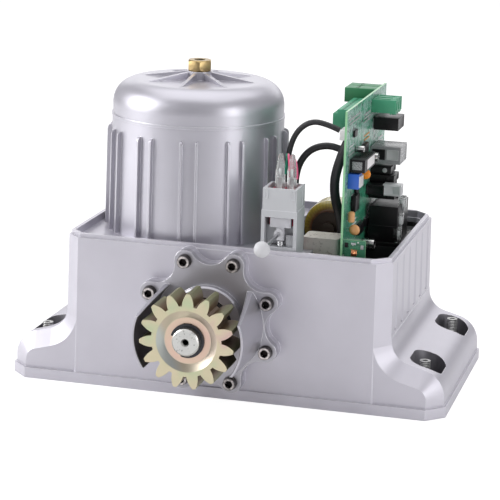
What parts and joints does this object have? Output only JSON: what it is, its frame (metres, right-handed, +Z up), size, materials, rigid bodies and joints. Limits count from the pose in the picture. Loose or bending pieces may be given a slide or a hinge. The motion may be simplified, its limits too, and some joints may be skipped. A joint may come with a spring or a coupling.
{
  "type": "sliding gate motor",
  "caption": "Cast housing with two mounting feet, an upright motor and end cap on its deck, a geared rack pinion in a guarded round cover at the front, and an open tub holding the control unit.",
  "frame": {"origin": "centre of the base's underside", "axes": "+Z up along the motor's axis, -Y towards the pinion and the gate's rack, +X towards the control unit"},
  "size_m": [0.334, 0.2516, 0.239],
  "materials": {
    "housing_paint": "satin pale silver-grey paint over cast aluminium",
    "cover_paint": "satin pale silver-grey paint over cast aluminium",
    "can_paint": "satin silver-grey paint over die-cast aluminium",
    "zinc_steel": "bright zinc-plated steel",
    "yellow_zinc": "yellow zinc plating with a faint rainbow sheen",
    "bearing_steel": "ground steel",
    "dark_steel": "blackened steel",
    "lamination": "stacked electrical steel",
    "winding_copper": "varnished copper wire",
    "bronze": "machined bronze",
    "nut_brass": "turned brass, slightly tarnished",
    "seal_rubber": "matt black rubber",
    "lead_black": "black PVC sheath",
    "switch_grey": "light grey moulded plastic",
    "switch_red": "red switch cases",
    "plunger_black": "black plastic",
    "lever_grey": "grey moulded plastic",
    "knob_pale": "pale grey rubber",
    "sleeve_clear": "clear sleeves over the terminals",
    "liner_black": "fine-grained black moulding",
    "tape_yellow": "yellow polyester tape",
    "capacitor_beige": "beige plastic can",
    "board_green": "green solder mask",
    "board_dark": "dark green solder mask",
    "terminal_green": "green terminal blocks",
    "relay_black": "black relay case",
    "relay_white": "white relay case",
    "film_blue": "blue film capacitor",
    "disc_orange": "orange lacquered discs",
    "resistor_brown": "brown ceramic",
    "chip_black": "black moulded packages",
    "connector_grey": "light grey connector",
    "connector_white": "white connector"
  },
  "bodies": {
    "housing": {"base_housing": "housing_paint", "levelling_screws": "dark_steel", "cover_post": "zinc_steel", "gear_cover": "cover_paint", "cover_screws": "zinc_steel", "oil_seal": "seal_rubber", "output_bearing_front": "bearing_steel", "output_bearing_rear": "bearing_steel", "worm_bearing_upper": "bearing_steel", "worm_bearing_lower": "bearing_steel", "motor_bearing_top": "bearing_steel", "motor_can": "can_paint", "end_cap": "can_paint", "cap_nut": "nut_brass", "stator_core": "lamination", "stator_windings": "winding_copper", "limit_switch_frame": "switch_grey", "pivot_pin": "bearing_steel", "frame_screws": "zinc_steel", "limit_switch_box": "switch_grey", "microswitches": "switch_red", "switch_terminals": "sleeve_clear", "lever_spring": "bearing_steel", "control_liner": "liner_black", "toroid_transformer": "tape_yellow", "toroid_fixing": "zinc_steel", "run_capacitor": "capacitor_beige", "control_board": "board_green", "daughter_board": "board_dark", "disc_capacitors": "disc_orange", "power_module": "chip_black", "output_terminal": "terminal_green", "motor_terminal": "terminal_green", "motor_relay": "relay_black", "signal_relay": "relay_white", "film_capacitor": "film_blue", "board_resistor": "resistor_brown", "driver_chips": "chip_black", "side_connector": "connector_grey", "near_chips": "chip_black", "pluggable_strip": "terminal_green", "white_connector": "connector_white", "rear_terminals": "terminal_green", "motor_lead": "lead_black", "capacitor_lead": "lead_black", "supply_lead": "lead_black"},
    "rotor": {"worm_shaft": "bearing_steel", "rotor_core": "lamination"},
    "output": {"output_shaft": "bearing_steel", "shaft_keys": "dark_steel", "pinion": "yellow_zinc", "pinion_collar": "yellow_zinc", "circlip": "dark_steel", "worm_wheel": "bronze"},
    "rocker": {"lever": "lever_grey", "lever_rod": "bearing_steel", "lever_knob": "knob_pale"},
    "left_plunger": {"plunger_left": "plunger_black"},
    "right_plunger": {"plunger_right": "plunger_black"}
  },
  "joints": [
    {"name": "motor_turn", "type": "hinge", "parent": "housing", "child": "rotor", "pos_m": [-0.0445, -0.0103, 0.15], "axis": [0, 0, 1], "continuous": true},
    {"name": "output_turn", "type": "hinge", "parent": "housing", "child": "output", "pos_m": [-0.0075, -0.1439, 0.0609], "axis": [0, 1, 0], "continuous": true},
    {"name": "lever_swing", "type": "hinge", "parent": "housing", "child": "rocker", "pos_m": [0.0394, -0.0783, 0.13], "axis": [0, 0, 1], "range_deg": [-14, 14], "stiffness_Nm_per_rad": 0.05},
    {"name": "left_plunger_press", "type": "slide", "parent": "housing", "child": "left_plunger", "axis": [0, 1, 0], "range_m": [0, 0.0007], "stiffness_N_per_m": 400},
    {"name": "right_plunger_press", "type": "slide", "parent": "housing", "child": "right_plunger", "axis": [0, 1, 0], "range_m": [0, 0.0007], "stiffness_N_per_m": 400}
  ],
  "couplings": [
    {"joint": "output_turn", "follows": "motor_turn", "ratio": -0.034483}
  ]
}
